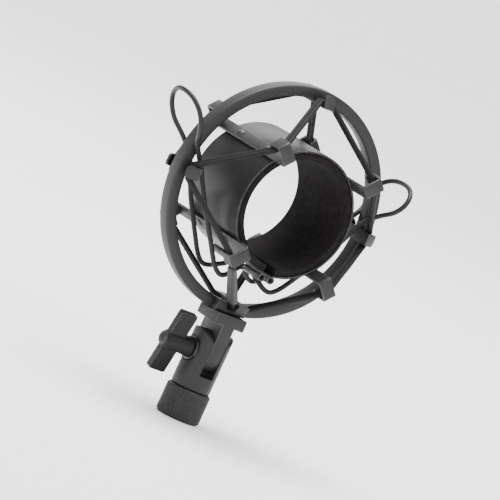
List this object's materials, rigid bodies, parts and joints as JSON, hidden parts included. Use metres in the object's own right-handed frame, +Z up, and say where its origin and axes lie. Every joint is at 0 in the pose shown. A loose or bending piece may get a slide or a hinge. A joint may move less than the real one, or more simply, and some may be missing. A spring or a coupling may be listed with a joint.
{
  "type": "microphone shock mount",
  "caption": "Spider suspension mount for a microphone: a felt-lined clamping sleeve hung by elastic cord inside a ring, on a tilting bracket with a knurled stand socket and a wing knob.",
  "frame": {"origin": "centre of the stand socket's mouth, where the stand enters", "axes": "+Z up along the post; the ring and sleeve share an axis along Y, and the front is -Y"},
  "size_m": [0.1199, 0.0616, 0.1468],
  "materials": {
    "strip_coat": "satin dark grey powder coat on steel strip",
    "sleeve_coat": "satin dark grey powder coat on spring sheet",
    "cast_coat": "satin dark grey coat on a casting",
    "wire": "smooth black coated spring wire",
    "blackened_steel": "blackened steel, semi-gloss",
    "felt": "dark brown-black felt lining",
    "sheath": "matt grey soft sheath over the cord's joined ends",
    "elastic": "woven dark grey elastic cord"
  },
  "bodies": {
    "socket": {"knurled_collar": "cast_coat"},
    "post": {"clevis": "cast_coat", "retaining_ring": "blackened_steel", "lock_nut": "blackened_steel", "knob_washer": "blackened_steel"},
    "knob": {"wing_knob": "cast_coat", "clamp_stud": "blackened_steel"},
    "ring_frame": {"mount_bracket": "cast_coat", "ring_clamp_plate": "cast_coat", "outer_ring": "strip_coat", "hook_right": "strip_coat", "hook_top": "strip_coat", "hook_left": "strip_coat", "hook_bottom": "strip_coat", "cord_sheath": "sheath", "elastic_front_1": "elastic", "elastic_front_2": "elastic", "elastic_rear_1": "elastic", "elastic_rear_2": "elastic"},
    "cradle": {"sleeve_top": "sleeve_coat", "lining_top": "felt", "hook_strip_upper_right": "strip_coat", "hook_strip_upper_left": "strip_coat", "rivet_upper_right_front": "blackened_steel", "rivet_upper_right_rear": "blackened_steel", "rivet_upper_left_front": "blackened_steel", "rivet_upper_left_rear": "blackened_steel"},
    "left_jaw": {"jaw_left": "sleeve_coat", "lining_left": "felt", "hook_strip_lower_left": "strip_coat", "lever_left": "wire", "rivet_lower_left_front": "blackened_steel", "rivet_lower_left_rear": "blackened_steel"},
    "right_jaw": {"jaw_right": "sleeve_coat", "lining_right": "felt", "hook_strip_lower_right": "strip_coat", "lever_right": "wire", "rivet_lower_right_front": "blackened_steel", "rivet_lower_right_rear": "blackened_steel"}
  },
  "joints": [
    {"name": "swivel", "type": "hinge", "parent": "socket", "child": "post", "pos_m": [0, 0, 0.011], "axis": [0, 0, 1], "continuous": true},
    {"name": "knob_turn", "type": "hinge", "parent": "post", "child": "knob", "pos_m": [-0.0165, 0, 0.029], "axis": [-1, 0, 0], "continuous": true},
    {"name": "tilt", "type": "hinge", "parent": "post", "child": "ring_frame", "pos_m": [0, 0, 0.029], "axis": [1, 0, 0], "range_deg": [-90, 90]},
    {"name": "bounce", "type": "slide", "parent": "ring_frame", "child": "cradle", "axis": [0, 0, 1], "range_m": [-0.0015, 0.0015], "stiffness_N_per_m": 2500, "springref_m": 0.0006, "deforming": ["elastic_front_1", "elastic_front_2", "elastic_rear_1", "elastic_rear_2", "cord_sheath"]},
    {"name": "left_jaw_open", "type": "hinge", "parent": "cradle", "child": "left_jaw", "pos_m": [-0.0273, 0.0025, 0.0968], "axis": [0, 1, 0], "range_deg": [0, 6], "stiffness_Nm_per_rad": 7},
    {"name": "right_jaw_open", "type": "hinge", "parent": "cradle", "child": "right_jaw", "pos_m": [0.0273, 0.0025, 0.0968], "axis": [0, -1, 0], "range_deg": [0, 6], "stiffness_Nm_per_rad": 7}
  ]
}
